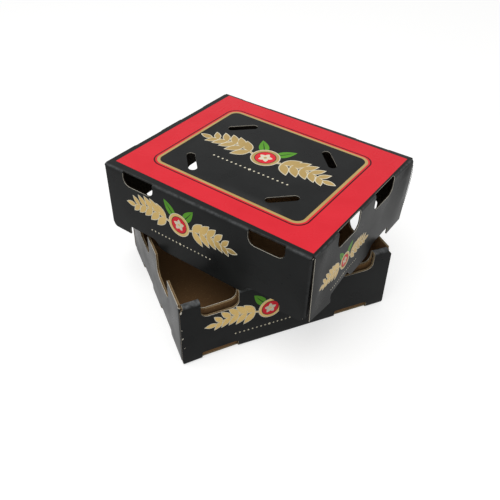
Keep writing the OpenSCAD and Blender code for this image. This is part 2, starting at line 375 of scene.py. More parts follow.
print("a right-angled corner of 3 mm has", len(rounded([(0, 9, 0), (0, 0, 3), (9, 0, 0)])) - 2, "points")

# %% Panels
def panel(x0, x1, y0, y1, radius=0.0, near_radius=None):
    """Rectangle from the fold side y0 to y1, whose corners at y0 may have their own radius."""
    near = radius if near_radius is None else near_radius
    return rounded([(x0, y0, near), (x1, y0, near), (x1, y1, radius), (x0, y1, radius)])


print("a rounded square has", len(panel(0, 10, 0, 10, 3)), "points")

# %% Mirror images
def four_ways(quarter):
    """Closes a quarter outline, drawn from the x axis to the y axis, by its mirror images."""
    outline = []
    for sx, sy in ((1, 1), (-1, 1), (-1, -1), (1, -1)):
        for point in [(x * sx, y * sy) for x, y in quarter][::sx * sy]:
            if not outline or math.dist(point, outline[-1]) > HAIR * HAIR:
                outline.append(point)
    return outline[:-1] if math.dist(outline[0], outline[-1]) < HAIR * HAIR else outline


def four_copies(outline, swap=False):
    """An outline of the first quarter and its three mirror images, with x and y swapped where asked for."""
    first = [(y, x) for x, y in outline] if swap else outline
    return [[(x * sx, y * sy) for x, y in first] for sx in (1, -1) for sy in (1, -1)]


print("a hole in one quarter is cut", len(four_copies(panel(5, 10, 5, 10))), "times")

# %% [markdown]
# ## Sizes that both blanks share
# The tray is of 3 mm board and the lid of a finer 1.8 mm one. Either bends round a tight crease of 0.8 mm, so
# the outer face of a fold has the board's thickness more as its radius and uses up a quarter of that circle.
# Lid and tray have their cut-outs at the same distances from the middle. Each blank could hold its own
# numbers, but then a change to one would leave the other behind.

# %% Boards and cut-outs, in millimetres
CREASE_R = 0.8
BOARD, LID_BOARD = 3.0, 1.8
FOLD_R, LID_FOLD_R = BOARD + CREASE_R, LID_BOARD + CREASE_R
QUARTER = math.pi / 2
FOLD_RUN, LID_FOLD_RUN = FOLD_R * QUARTER, LID_FOLD_R * QUARTER
PLAY = 0.3
CUT_R = 10.0
LONG_AT, LONG_CUT = 93.0, 48.0
SHORT_AT, SHORT_CUT = 44.0, 50.0
LONG_FROM, LONG_TO = LONG_AT - LONG_CUT / 2, LONG_AT + LONG_CUT / 2
SHORT_FROM, SHORT_TO = SHORT_AT - SHORT_CUT / 2, SHORT_AT + SHORT_CUT / 2
print("a fold takes up", round(FOLD_RUN, 2), "mm of the tray and", round(LID_FOLD_RUN, 2), "mm of the lid")

# %% [markdown]
# ## The tray's blank
# The floor is in the middle. Each long wall runs up, over a narrow rim and back down inside as a second
# layer, whose two tabs lock through slots in the floor. The short walls are single, and a flap at each end
# tucks between the layers of the long wall. The walls could be plates that are put together, but one outline
# with its holes is what the die cuts, and folding it brings every layer to its place.

# %% Sizes of the tray, in millimetres
TRAY_L, TRAY_W, TRAY_H = 284.0, 238.0, 97.0
# Depth of the long walls' rim notches, how much less the inner layer has, and the short walls' own depth
RIM_NOTCH, INNER_SHY, SHORT_NOTCH = 25.0, 5.0, 33.0
# Height and corners of the notches at the foot, and the round of the foot's ends
FOOT_NOTCH, FOOT_NOTCH_R, FOOT_R = 11.5, 2.0, 6.0
# A long wall is two layers with a flap between them
WALL_DEPTH = 3 * BOARD + 2 * PLAY
# Length of a tucked flap and its distance below the notches, then width and place of the lock tabs
TUCK_FLAP, TUCK_SHY, LOCK_W, LOCK_AT = 72.0, 4 * BOARD, 26.0, 36.0
print("tray of", TRAY_L, "x", TRAY_W, "x", TRAY_H, "mm with walls", round(WALL_DEPTH, 1), "mm deep")

# %% Places along the tray's blank
floor_x, floor_y = TRAY_L / 2 - FOLD_R, TRAY_W / 2 - FOLD_R
short_base, long_base = floor_x + FOLD_RUN - FOLD_R, floor_y + FOLD_RUN - FOLD_R
short_top = short_base + TRAY_H
roll_half = TRAY_L / 2 - FOLD_R - PLAY
rim_fold = long_base + TRAY_H - FOLD_R
inner_fold = rim_fold + FOLD_RUN + WALL_DEPTH - 2 * FOLD_R
inner_top = inner_fold + FOLD_RUN
inner_end = inner_top + TRAY_H - FOLD_R - BOARD - PLAY
lock_end = inner_end + BOARD + PLAY
lock_from, lock_to = LOCK_AT - LOCK_W / 2, LOCK_AT + LOCK_W / 2
flap_from = TRAY_W / 2 - BOARD - PLAY - FOLD_R
flap_low, flap_high = short_base + FOLD_R + PLAY, short_top - BOARD - PLAY
flap_upper = short_top - RIM_NOTCH - TUCK_SHY
flap_tall = flap_from + FOLD_RUN + TRAY_L / 2 - FOLD_R - LONG_TO - 2 * PLAY
flap_end = flap_from + FOLD_RUN + TUCK_FLAP - FOLD_R
print("tray blank", round(2 * short_top), "x", round(2 * lock_end), "mm")

# %% Outline of the tray's blank
CORNER_STEPS = 8

foot_corner = []
for k in range(CORNER_STEPS + 1):
    angle = QUARTER * k / CORNER_STEPS
    high = FOOT_R * (1 - math.cos(angle))
    run = FOLD_R * math.acos(1 - high / FOLD_R) + floor_y if high < FOLD_R else long_base + high
    foot_corner.append((TRAY_L / 2 - FOOT_R * (1 - math.sin(angle)), run, 0))

notch_low = short_top - SHORT_NOTCH
tray_outline = four_ways(rounded([
    (short_top, 0, 0), (short_top, SHORT_FROM, 0), (notch_low, SHORT_FROM, CUT_R),
    (notch_low, SHORT_TO, CUT_R), (short_top, SHORT_TO, 0), (short_top, flap_from, 0),
    (flap_high, flap_from, 0), (flap_high, flap_tall, 0), (flap_upper, flap_tall, 0),
    (flap_upper, flap_end, CUT_R), (flap_low, flap_end, 0), (flap_low, flap_from, 0),
    (floor_x, flap_from, 0), (floor_x, floor_y, 0), *foot_corner,
    (TRAY_L / 2, rim_fold, TRAY_L / 2 - roll_half - HAIR), (roll_half, rim_fold, 0),
    (roll_half, inner_end, 0), (lock_to, inner_end, 0), (lock_to, lock_end, 0),
    (lock_from, lock_end, 0), (lock_from, inner_end, 0), (0, inner_end, 0)]))
print("tray outline:", len(tray_outline), "points")

# %% Holes of the tray's blank
slot_from = TRAY_W / 2 - WALL_DEPTH - PLAY
slot_to = slot_from + BOARD + 2 * PLAY
rim_notch_end = inner_top + RIM_NOTCH - INNER_SHY - FOLD_R
tray_holes = (
    four_copies(panel(LONG_FROM, LONG_TO, long_base + TRAY_H - RIM_NOTCH, rim_notch_end, CUT_R))
    + four_copies(panel(LONG_FROM, LONG_TO, floor_y, long_base + FOOT_NOTCH, FOOT_NOTCH_R, 0))
    + four_copies(panel(SHORT_FROM, SHORT_TO, floor_x, short_base + FOOT_NOTCH, FOOT_NOTCH_R, 0), swap=True)
    + four_copies(panel(lock_from - PLAY, lock_to + PLAY, slot_from, slot_to)))
print("tray holes:", len(tray_holes))

# %% [markdown]
# ## The lid's blank
# The top is in the middle, with a slanted vent slot near each corner. All four walls fold down. The long
# walls carry the glue flaps, which turn the corners behind the short walls. The lower edges stand on feet at
# the corners and rise beside them in notches that end in an S-curve. A spline could draw that, but a die
# maker bends it from two equal arcs, and their radius follows from its run and its height. The short walls
# stop a little short of the corners.

# %% Sizes of the lid, in millimetres
LID_L, LID_W, LID_H = 300.0, 248.0, 94.0
# Length of a glue flap, the short walls' distance from the corner, the rounds of a foot and a fold's end
GLUE_FLAP, END_BACK, CORNER_R, FOLD_END_R = 44.0, 5.0, 6.0, 1.7
# How far the vents come down in the walls, and the slots in the top
LONG_VENT, SHORT_VENT = 19.0, 25.0
SLOT_L, SLOT_W, SLOT_AT, SLOT_TURN = 41.0, 11.0, Vector((67.0, 54.0)), math.radians(45)
# Height of the lower notches, run of their S-curves, their round corners, and where they start and end
NOTCH_H, CURVE_RUN, NOTCH_R = 12.0, 20.0, 4.0
LONG_NOTCH, SHORT_NOTCH_ENDS = (67.0, 115.0), (27.0, 78.0)
print("lid of", LID_L, "x", LID_W, "x", LID_H, "mm")

# %% Places along the lid's blank
top_x, top_y = LID_L / 2 - LID_FOLD_R, LID_W / 2 - LID_FOLD_R
corner_from = LID_L / 2 - LID_BOARD - LID_FOLD_R
end_half = LID_W / 2 - END_BACK
long_wall_from, short_wall_from = top_y + LID_FOLD_RUN, top_x + LID_FOLD_RUN
long_low, short_low = long_wall_from + LID_H - LID_FOLD_R, short_wall_from + LID_H - LID_FOLD_R
glue_end = corner_from + LID_FOLD_RUN + GLUE_FLAP - LID_FOLD_R
flap_top, flap_foot = long_wall_from + PLAY, long_low - CORNER_R
print("lid blank", round(2 * short_low), "x", round(2 * long_low), "mm")

# %% S-curve of the lower edges
curve_r = (CURVE_RUN ** 2 + NOTCH_H ** 2) / (4 * NOTCH_H)
curve_half = math.asin(CURVE_RUN / 2 / curve_r)
curve_turns = [curve_half * k / CORNER_STEPS for k in range(CORNER_STEPS + 1)]
upper_arc = [(CURVE_RUN / 2 - curve_r * math.sin(turn), NOTCH_H / 2 - curve_r * (1 - math.cos(turn)))
             for turn in curve_turns]
s_curve = upper_arc + [(-x, -y) for x, y in upper_arc[-2::-1]]
print("S-curves of", round(curve_r, 1), "mm radius, with", len(s_curve), "points")

# %% Outline of the lid's blank
def lower_edge(low, ends):
    """Lower edge of a wall from its foot to its middle: along the wall, and away from the lid's middle."""
    inner, outer = ends
    high = low - NOTCH_H
    notch = rounded([(outer, low, 0), (outer, high, NOTCH_R), (inner + CURVE_RUN / 2, high, 0)])
    return notch[:-1] + [(inner + x, low - NOTCH_H / 2 - y) for x, y in s_curve] + [(0.0, low)]


lid_corner = rounded([
    (short_low, end_half, 0), (top_x, end_half, 0), (top_x, long_wall_from, FOLD_END_R),
    (corner_from, long_wall_from, 0), (corner_from, flap_top, 0), (glue_end, flap_top, 0),
    (glue_end, flap_foot, 0), (corner_from, flap_foot, 0), (corner_from, long_low, CORNER_R - HAIR),
    (LONG_NOTCH[1] + NOTCH_R, long_low, 0)])
end_edge = [(y, x) for x, y in lower_edge(short_low, SHORT_NOTCH_ENDS)[::-1]]
lid_outline = four_ways(end_edge + lid_corner + lower_edge(long_low, LONG_NOTCH))
print("lid outline:", len(lid_outline), "points")

# %% Holes of the lid's blank
def slot_outline(sx, sy):
    turn = Matrix.Rotation(-sx * sy * SLOT_TURN, 2)
    shape = panel(-SLOT_L / 2, SLOT_L / 2, -SLOT_W / 2, SLOT_W / 2, SLOT_W / 2 - HAIR)
    return [tuple(turn @ Vector(p) + SLOT_AT * Vector((sx, sy))) for p in shape]


long_vent_end = long_wall_from + LONG_VENT - LID_FOLD_R
short_vent_end = short_wall_from + SHORT_VENT - LID_FOLD_R
lid_holes = (
    four_copies(panel(LONG_FROM, LONG_TO, top_y, long_vent_end, CUT_R, 0))
    + four_copies(panel(SHORT_FROM, SHORT_TO, top_x, short_vent_end, CUT_R, 0), swap=True)
    + [slot_outline(sx, sy) for sx in (1, -1) for sy in (1, -1)])
print("lid holes:", len(lid_holes))

# %% [markdown]
# ## Shapes for a plain ornament
# A gift box carries a printed ornament. This one has a common garland, made of discs, pointed leaves and
# stems. A picture could be laid on as a texture, but hot foil and spot inks are flat fields with sharp edges,
# so each shape is a flat outline.

# %% Discs and leaves
DISC_STEP, DISC_LEAST = 2.2, 16
LEAF_STEPS, LEAF_BACK, LEAF_FULL = 8, 0.85, 0.9
STALK_ROOM, LENGTH_ROOM = 1.6, 3.4


def disc(radius, x=0.0, y=0.0):
    count = max(DISC_LEAST, math.ceil(2 * math.pi * radius / DISC_STEP))
    turns = [2 * math.pi * k / count for k in range(count)]
    return [(x + radius * math.cos(turn), y + radius * math.sin(turn)) for turn in turns]


def leaf(x, y, length, width, angle, grow=0.0):
    """Pointed leaf from its stalk at x, y along an angle in degrees, grown all round by an amount."""
    along = Vector((math.cos(math.radians(angle)), math.sin(math.radians(angle))))
    across = Vector((-along.y, along.x))
    stalk = Vector((x, y)) - along * grow * STALK_ROOM
    length, width = length + grow * LENGTH_ROOM, width + grow * 2
    stations = [k / LEAF_STEPS for k in range(LEAF_STEPS + 1)]
    swell = [width / 2 * math.sin(math.pi * t ** LEAF_BACK) ** LEAF_FULL for t in stations]
    one = [stalk + along * length * t + across * w for t, w in zip(stations, swell)]
    other = [stalk + along * length * t - across * w for t, w in zip(stations, swell)]
    return [tuple(p) for p in other + one[-2:0:-1]]


print("a leaf has", len(leaf(0, 0, 20, 8, 0)), "points")

# %% Stems
def stem(points, width):
    left_side, right_side = [], []
    for i, p in enumerate(points):
        run = Vector(points[min(i + 1, len(points) - 1)]) - Vector(points[max(i - 1, 0)])
        side = Vector((-run.y, run.x)).normalized() * width / 2
        left_side.append(tuple(Vector(p) + side))
        right_side.append(tuple(Vector(p) - side))
    return right_side + left_side[::-1]


print("a stem through three points has", len(stem([(0, 0), (5, 1), (10, 0)], 2)), "points")

# %% [markdown]
# ## The garland
# A blossom sits in a ringed red roundel, with a leafy spray of foil to each side, two green leaves above and
# a row of small lozenges below. Each panel could have a drawing of its own, but a list of outlines with their
# inks, in the order of printing, can be laid on any panel at any size.

# %% Sprays of leaves
OUTLINE, STEM_WIDTH = 1.1, 1.6
SPRAY_STEPS, SPRAY_FROM, SPRAY_STEP, SPRAY_FOOT, SPRAY_ARCH = 16, 17.0, 4.3, 3.0, 7.0
LEAF_LEAN = 48
# Step of the stem, length and width of each pair of leaves
LEAF_PAIRS = ((2, 25.0, 11.0), (5, 24.0, 10.5), (8, 22.0, 9.5), (11, 20.0, 8.5), (14, 17.0, 7.5))
END_LEAF = (17.0, 7.5)


def sprays():
    stems, leaves = [], []
    for side, ahead in ((1, 0), (-1, 180)):
        arch = [SPRAY_FOOT + SPRAY_ARCH * math.sin(math.pi * k / SPRAY_STEPS) for k in range(SPRAY_STEPS + 1)]
        path = [(side * (SPRAY_FROM + SPRAY_STEP * k), y) for k, y in enumerate(arch)]
        for k, length, width in LEAF_PAIRS:
            leaves += [(*path[k], length, width, ahead + side * lean) for lean in (LEAF_LEAN, -LEAF_LEAN)]
        leaves.append((*path[-1], *END_LEAF, ahead))
        stems += [(CREAM, stem(path, STEM_WIDTH + 2 * OUTLINE)), (GOLD, stem(path, STEM_WIDTH))]
    rims = [(CREAM, leaf(*one, grow=OUTLINE)) for one in leaves]
    return rims + stems + [(GOLD, leaf(*one)) for one in leaves]


ornament = sprays()
print("sprays:", len(ornament), "fields of colour")

# %% Roundel, green leaves and blossom
ROUNDEL_UP = 5.0
ROUNDEL = ((CREAM, 19.5), (GOLD, 18.3), (BLACK, 14.4), (RED, 13.4))
GREEN_LEAVES, GREEN_FROM, GREEN_LEAF, GREEN_RIB = (52, 128), 10.0, (34.0, 14.0), (30.0, 1.3)
PETALS, PETAL_FROM, PETAL, BLOSSOM_EYE = 5, 1.2, (8.6, 6.4), 2.2


def around(angle, radius):
    """Place on a circle about the roundel's middle."""
    return radius * math.cos(math.radians(angle)), ROUNDEL_UP + radius * math.sin(math.radians(angle))


for angle in GREEN_LEAVES:
    at = around(angle, GREEN_FROM)
    ornament += [(GREEN, leaf(*at, *GREEN_LEAF, angle)), (BLACK, leaf(*at, *GREEN_RIB, angle))]
ornament += [(finish, disc(radius, 0, ROUNDEL_UP)) for finish, radius in ROUNDEL]
for k in range(PETALS):
    angle = 90 + 360 / PETALS * k
    ornament.append((CREAM, leaf(*around(angle, PETAL_FROM), *PETAL, angle)))
ornament.append((GOLD, disc(BLOSSOM_EYE, 0, ROUNDEL_UP)))
print("with roundel and blossom:", len(ornament), "fields of colour")

# %% Row of lozenges
LOZENGES, LOZENGE_STEP, LOZENGE_DOWN, LOZENGE, LOZENGE_MIDDLE = 8, 7.0, -30.0, 3.2, 5.0

for k in range(-LOZENGES, LOZENGES + 1):
    at, reach = LOZENGE_STEP * k, (LOZENGE if k else LOZENGE_MIDDLE) / 2
    ornament.append((CREAM, [(at - reach, LOZENGE_DOWN), (at, LOZENGE_DOWN - reach),
                             (at + reach, LOZENGE_DOWN), (at, LOZENGE_DOWN + reach)]))
print("garland:", len(ornament), "fields of colour")

# %% [markdown]
# ## Print on the lid
# On the top a wide red border frames a black field, with a thin dark line and a band of foil between them.
# The press was set a little askew, so these fields don't run quite square with the sheet. The walls carry the
# garland off their middles. What no eye sees when the lid is made up was left as bare kraft. A frame could be
# cut as rings, but a printer lays one field over the last, and so does this list.

# %% Frame on the lid's top
# Left, right, front and back edges of the red border and of the frame in it
RED_FIELD = (-140.4, 145.1, -113.2, 117.4)
FRAME = (-111.0, 115.0, -87.2, 90.6)
# Ink, inset from the frame and corner radius of each field
FRAME_LINES = ((MAROON, 0.0, 17.0), (RED, 1.8, 15.5), (GOLD, 4.1, 13.5), (BLACK, 7.8, 10.5))
ASKEW = -0.015

lid_print = [(RED, panel(*RED_FIELD))]
for finish, inset, radius in FRAME_LINES:
    x0, x1, y0, y1 = FRAME
    lid_print.append((finish, panel(x0 + inset, x1 - inset, y0 + inset, y1 - inset, radius)))
lid_print = [(finish, [(x, y + ASKEW * x) for x, y in outline]) for finish, outline in lid_print]
print("frame on the lid:", len(lid_print), "fields")

# %% Garlands and bare flaps of the lid
TOP_ORNAMENT, WALL_ORNAMENT, END_ORNAMENT = 0.98, 0.82, 0.58
TOP_AT, LID_LONG_AT, LID_END_AT = (0.5, 4.0), (29.5, long_low - 50.0), (short_low - 36.0, 45.0)
# Print goes this far on to a glue flap, and the bare field goes on past the blank's edge
GLUE_SIGHT, FAR = 12.0, 400.0


def lay(shapes, origin, right_way, scale):
    """Puts a drawing on the blank, with its own x along right_way and its y a quarter turn further."""
    (ox, oy), (rx, ry) = origin, right_way
    return [(finish, [(ox + scale * (x * rx - y * ry), oy + scale * (x * ry + y * rx)) for x, y in outline])
            for finish, outline in shapes]


lid_print += lay(ornament, TOP_AT, (1, 0), TOP_ORNAMENT)
for s in (1, -1):
    lid_print += lay(ornament, (-s * LID_LONG_AT[0], -s * LID_LONG_AT[1]), (s, 0), WALL_ORNAMENT)
for s in (1, -1):
    lid_print += lay(ornament, (s * LID_END_AT[0], -s * LID_END_AT[1]), (0, s), END_ORNAMENT)
glue_line = corner_from + LID_FOLD_RUN + GLUE_SIGHT
bare_flap = panel(glue_line, FAR, long_wall_from + PLAY / 2, FAR)
lid_print += [(LINER, flap) for flap in four_copies(bare_flap)]
print("print on the lid:", len(lid_print), "fields")

# %% [markdown]
# ## Print on the tray
# The tray's long walls carry the garland too. The print stops on the way over the rim, and the tucked flaps
# are bare. Down the front left corner a few chips of print have come off, and the bleached liner shows. A
# noise mask would scatter such chips anywhere, so each is a small pointed field of its own.

# %% Fields of print on the tray's blank
TRAY_LONG_AT = (27.5, long_base + 51.0)
# Distance from the corner, height, length, width and slant of each chip
CHIPS = ((1.2, 88.0, 6.0, 2.2, 80), (0.9, 46.0, 3.4, 1.8, 60),
         (1.6, 61.0, 2.2, 0.9, 100), (2.6, 30.0, 2.0, 0.8, 40))
PRINT_OVER_RIM, PRINT_ROUND_FLAP = 0.6, 0.8
# Lines that only have to reach past the board's edge go on by this much
OVER = 1.0

tray_print = []
for s in (1, -1):
    tray_print += lay(ornament, (-s * TRAY_LONG_AT[0], s * TRAY_LONG_AT[1]), (s, 0), WALL_ORNAMENT)
print_end = inner_fold + FOLD_RUN * PRINT_OVER_RIM
for s in (1, -1):
    tray_print.append((LINER, panel(-TRAY_L / 2, TRAY_L / 2, *sorted((s * print_end, s * FAR)))))
tuck_line = flap_from + FOLD_RUN * PRINT_ROUND_FLAP
tray_print += [(LINER, flap) for flap in four_copies(panel(TRAY_L / 2 + OVER, FAR, tuck_line, FAR))]
for inset, high, length, width, angle in CHIPS:
    tray_print.append((PALE, leaf(inset - TRAY_L / 2, long_base + high, length, width, angle)))
print("print on the tray:", len(tray_print), "fields")

# %% [markdown]
# ## From outlines to flat triangles
# A sheet could be a plane with a Solidify modifier, but its print has to be sharp and its cut edge has to
# show liners with a hollow between. So a triangulation that keeps every outline, field of print and crease
# makes the face. The finish of a triangle is the last field printed over its middle.

# %% Lines and net of a blank
GRID = 13.0


def inside(points, outline):
    x, y = points[:, 0], points[:, 1]
    hit = np.zeros(len(points), bool)
    for (x0, y0), (x1, y1) in zip(outline, outline[1:] + outline[:1]):
        if y0 != y1:
            hit ^= ((y0 > y) != (y1 > y)) & (x < (x1 - x0) * (y - y0) / (y1 - y0) + x0)
    return hit


def lines_and_net(outline, holes, creases, fields):
    """Points and edges of every line that is kept, and a net of loose points in between."""
    points, edges = [], []
    loops = [outline, *holes, *(shape for _, shape in fields)]
    for line, closed in [(loop, True) for loop in loops] + [(row, False) for row in creases]:
        first = len(points)
        points += [Vector(p) for p in line]
        edges += [(first + i, first + i + 1) for i in range(len(line) - 1)]
        if closed:
            edges.append((len(points) - 1, first))
    reach = np.abs(np.array(outline)).max(0)
    grid = np.stack(np.meshgrid(*(np.arange(-r + GRID / 2, r, GRID) for r in reach)), -1).reshape(-1, 2)
    return points + [Vector(p) for p in grid[inside(grid, outline)]], edges


print("a net of", GRID, "mm fills in between the lines that are kept")

# %% Triangulation
MERGE = 1e-4


def triangulate(outline, holes, creases, fields):
    """Flat triangles that keep every line: their corners, their indices and each one's finish."""
    made = delaunay_2d_cdt(*lines_and_net(outline, holes, creases, fields), [], 0, MERGE)
    corners, triangles = np.array([tuple(p) for p in made[0]]), np.array(made[2])
    middle = corners[triangles].mean(1)
    keep = inside(middle, outline)
    for hole in holes:
        keep &= ~inside(middle, hole)
    triangles, middle = triangles[keep], middle[keep]
    finish = np.full(len(triangles), BLACK)
    for colour, shape in fields:
        finish[inside(middle, shape)] = colour
    used, triangles = np.unique(triangles, return_inverse=True)
    return corners[used], triangles.reshape(-1, 3), finish


trial = triangulate(panel(-20, 20, -10, 10), [], [], [])
print("a bare panel of 40 by 20 mm has", len(trial[1]), "triangles")

# %% Cut edges
LEAST_MITRE = 0.6


def cut_edges(triangles):
    """Edges with board on their left only, which are the sheet's cut edges."""
    sides = {(t[i], t[(i + 1) % 3]) for t in triangles.tolist() for i in range(3)}
    return [(a, b) for a, b in sides if (b, a) not in sides]


def inward_ways(corners, edges):
    """At each corner of a cut edge, the way into the board, long enough for a mitred offset of one."""
    ways = np.zeros((len(corners), 2))
    normals = {}
    for a, b in edges:
        run = corners[b] - corners[a]
        normal = np.array((-run[1], run[0])) / np.linalg.norm(run)
        normals.setdefault(a, []).append(normal)
        normals.setdefault(b, []).append(normal)
    for at, pair in normals.items():
        ways[at] = np.sum(pair, 0) / max(LEAST_MITRE, 1 + float(pair[0] @ pair[-1]))
    return ways


print("a triangle alone has", len(cut_edges(np.array([(0, 1, 2)]))), "cut edges")

# %% [markdown]
# ## From triangles to a sheet of board
# The inner face is a copy of the outer one a board's thickness below. Between them each cut edge gets five
# strips: the outer liner, a step in, the back of the hollow, a step out and the inner liner. Extruding and
# scaling in Edit Mode gives such strips too, but not with an even depth round every notch. The sheet also
# keeps what the folding needs to know about each point, and its flat place as its map.

# %% Points and faces of a sheet
STRIPS = 5


def sheet_points(board, corners, ways, rim):
    """Flat places and depths of all points: the two faces, then four rows round the cut edges."""
    thick, liner, recess = board["thick"], board["liner"], board["recess"]
    rows = [(0.0, liner), (recess, liner), (recess, thick - liner), (0.0, thick - liner)]
    flat = [corners, corners] + [corners[rim] + ways[rim] * shift for shift, _ in rows]
    depth = [0.0, thick] + [down for _, down in rows]
    return np.concatenate(flat), np.concatenate([np.full(len(part), down) for part, down in zip(flat, depth)])


def sheet_faces(board, corners, triangles, finish, edges, rim, inked):
    """Faces of both sides and of the strips round the cut edges, and the finish of each."""
    count = len(corners)
    place = {corner: i for i, corner in enumerate(rim)}

    def layer(corner, k):
        if k in (0, STRIPS):
            return corner + (count if k else 0)
        return 2 * count + (k - 1) * len(rim) + place[corner]

    faces = triangles.tolist() + (triangles[:, ::-1] + count).tolist()
    slots = finish.tolist() + [board["inside"]] * len(triangles)
    for a, b in edges:
        covered = inked(*(corners[a] + corners[b]) / 2)
        for k in range(STRIPS):
            faces.append((layer(a, k), layer(a, k + 1), layer(b, k + 1), layer(b, k)))
            slots.append(BLACK if covered else board["cut"][k])
    return faces, slots


print("a cut edge has", STRIPS, "strips")

# %% Marks on a flat sheet
def mark_sheet(mesh, flat, ways, edges, shape):
    """Keeps on the mesh what folding and inks read: walls, wear with painted sheen, ways in, cut edges and
    the flat map.
    """
    for key, values in {**shape["flags"](*flat.T), "scuff_and_sheen": shape["scuff_and_sheen"](*flat.T)}.items():
        mark = mesh.attributes.new(key, "FLOAT", "POINT")
        mark.data.foreach_set("value", np.asarray(values, np.float32))
    inward = np.zeros((len(flat), 3), np.float32)
    inward[:len(ways), :2] = ways
    mesh.attributes.new("inward", "FLOAT_VECTOR", "POINT").data.foreach_set("vector", inward.ravel())
    cut = {tuple(sorted(edge)) for edge in edges}
    is_cut = [tuple(sorted(edge.vertices)) in cut for edge in mesh.edges]
    mesh.attributes.new("cut", "BOOLEAN", "EDGE").data.foreach_set("value", is_cut)
    corner_of = np.empty(len(mesh.loops), int)
    mesh.loops.foreach_get("vertex_index", corner_of)
    blank_map = (flat[corner_of] * MM).astype(np.float32)
    mesh.uv_layers.new(name=FLAT_MAP).data.foreach_set("uv", blank_map.ravel())


print("a sheet keeps its flat places as the map", FLAT_MAP)

# %% Flat sheet
def sheet_object(name, board, lines, shape):
    """Flat sheet of a board, from its lines and functions for its bow, flags, wear with painted sheen and
    black edges.
    """
    corners, triangles, finish = triangulate(*lines)
    edges = cut_edges(triangles)
    ways = inward_ways(corners, edges)
    rim = sorted({corner for edge in edges for corner in edge})
    flat, depth = sheet_points(board, corners, ways, rim)
    faces, slots = sheet_faces(board, corners, triangles, finish, edges, rim, shape["inked"])
    spots = np.column_stack((flat, shape["bow"](*flat.T) - depth)) * MM
    mesh = bpy.data.meshes.new(name)
    mesh.from_pydata(spots.tolist(), [], faces)
    for material in FINISHES:
        mesh.materials.append(material)
    mesh.polygons.foreach_set("material_index", slots)
    mark_sheet(mesh, flat, ways, edges, shape)
    piece = bpy.data.objects.new(name, mesh)
    scene.collection.objects.link(piece)
    print(name, "flat:", len(triangles), "triangles a face,", len(edges), "cut edges")
    return piece


print("a sheet can have", len(FINISHES), "finishes")

# %% [markdown]
# ## The crease, as a node group
# A fold bends the part of a sheet that lies past a crease line through a quarter turn, round an arc. A Simple
# Deform modifier could bend one wall, but every fold of the box is that one rule, so it is a node group. It
# measures how far a point lies past the crease, turns it by that length over the radius, and carries the rest
# on straight. Depth below the outer face shortens the lever, which gives the inner face its tighter radius by
# itself. The sums are written as a list, each with a name that later ones can take.

# %% Named inputs and named sums
def sockets(tree, *wanted):
    """Gives a tree a geometry output, a geometry input and further named inputs."""
    tree.interface.new_socket("Geometry", in_out="OUTPUT", socket_type="NodeSocketGeometry")
    for name, kind in (("Geometry", "Geometry"), *wanted):
        tree.interface.new_socket(name, in_out="INPUT", socket_type="NodeSocket" + kind)


def lay_sums(tree, known, sums):
    """Adds a node a sum, from its name, what it does, and the known names or plain numbers that it takes."""
    for name, operation, *terms in sums:
        taken = {place: known.get(term, term) for place, term in enumerate(terms)}
        known[name] = add_node(tree, "ShaderNodeMath", taken, operation=operation).outputs[0]


print("a fold turns by", round(QUARTER, 4), "radians")

# %% What a crease starts from
crease = bpy.data.node_groups.new("crease", "GeometryNodeTree")
sockets(crease, ("Across", "Vector"), ("Start", "Float"), ("Radius", "Float"), ("Walls", "String"))
given = add_node(crease, "NodeGroupInput").outputs
spot = add_node(crease, "GeometryNodeInputPosition").outputs[0]
height = add_node(crease, "ShaderNodeSeparateXYZ", {0: spot}).outputs["Z"]
reach = add_node(crease, "ShaderNodeVectorMath", {0: spot, 1: given["Across"]}, operation="DOT_PRODUCT")
flag = add_node(crease, "GeometryNodeInputNamedAttribute", {"Name": given["Walls"]}, data_type="FLOAT")
known = {"reach": reach.outputs["Value"], "height": height, "flag": flag.outputs[0],
         "start": given["Start"], "radius": given["Radius"]}
print("a crease starts from", ", ".join(known))

# %% Sums of a crease
lay_sums(crease, known, (
    ("side", "SIGN", "reach"),
    ("far", "ABSOLUTE", "reach"),
    ("over", "SUBTRACT", "far", "start"),
    ("past", "MAXIMUM", "over", 0.0),
    ("free turn", "DIVIDE", "past", "radius"),
    ("turn", "MINIMUM", "free turn", QUARTER),
    ("arc", "MULTIPLY", "turn", "radius"),
    ("straight", "SUBTRACT", "past", "arc"),
    ("lever", "ADD", "radius", "height"),
    ("sine", "SINE", "turn"),
    ("cosine", "COSINE", "turn"),
    ("arc out", "MULTIPLY", "lever", "sine"),
    ("wall out", "MULTIPLY", "straight", "cosine"),
    ("beyond", "ADD", "arc out", "wall out"),
    ("flat out", "MINIMUM", "far", "start"),
    ("out", "ADD", "flat out", "beyond"),
    ("arc up", "MULTIPLY", "lever", "cosine"),
    ("above", "SUBTRACT", "arc up", "radius"),
    ("wall down", "MULTIPLY", "straight", "sine"),
    ("rise", "SUBTRACT", "above", "wall down"),
    ("more out", "SUBTRACT", "out", "far"),
    ("shift", "MULTIPLY", "side", "more out"),
    ("climb", "SUBTRACT", "rise", "height"),
    ("folds", "GREATER_THAN", "flag", 0.5)))
print("after its sums it knows", len(known), "values")

# %% Crease node group
step_out = add_node(crease, "ShaderNodeVectorMath", {0: given["Across"], "Scale": known["shift"]},
                    operation="SCALE").outputs[0]
step_up = add_node(crease, "ShaderNodeCombineXYZ", {"Z": known["climb"]}).outputs[0]
move = add_node(crease, "ShaderNodeVectorMath", {0: step_out, 1: step_up}, operation="ADD").outputs[0]
bent = add_node(crease, "GeometryNodeSetPosition",
                {"Geometry": given["Geometry"], "Selection": known["folds"], "Offset": move})
add_node(crease, "NodeGroupOutput", {"Geometry": bent.outputs[0]})
print("crease group:", len(crease.nodes), "nodes")

# %% [markdown]
# ## The flutes, as a node group
# Between the liners runs a waved paper medium, which shows along every cut edge. The group takes the cut
# edges as curves, waves them by their place across the flutes, and gives them a little depth into the board
# and the thickness of paper. A bump map would be flat where an edge is seen from its end.

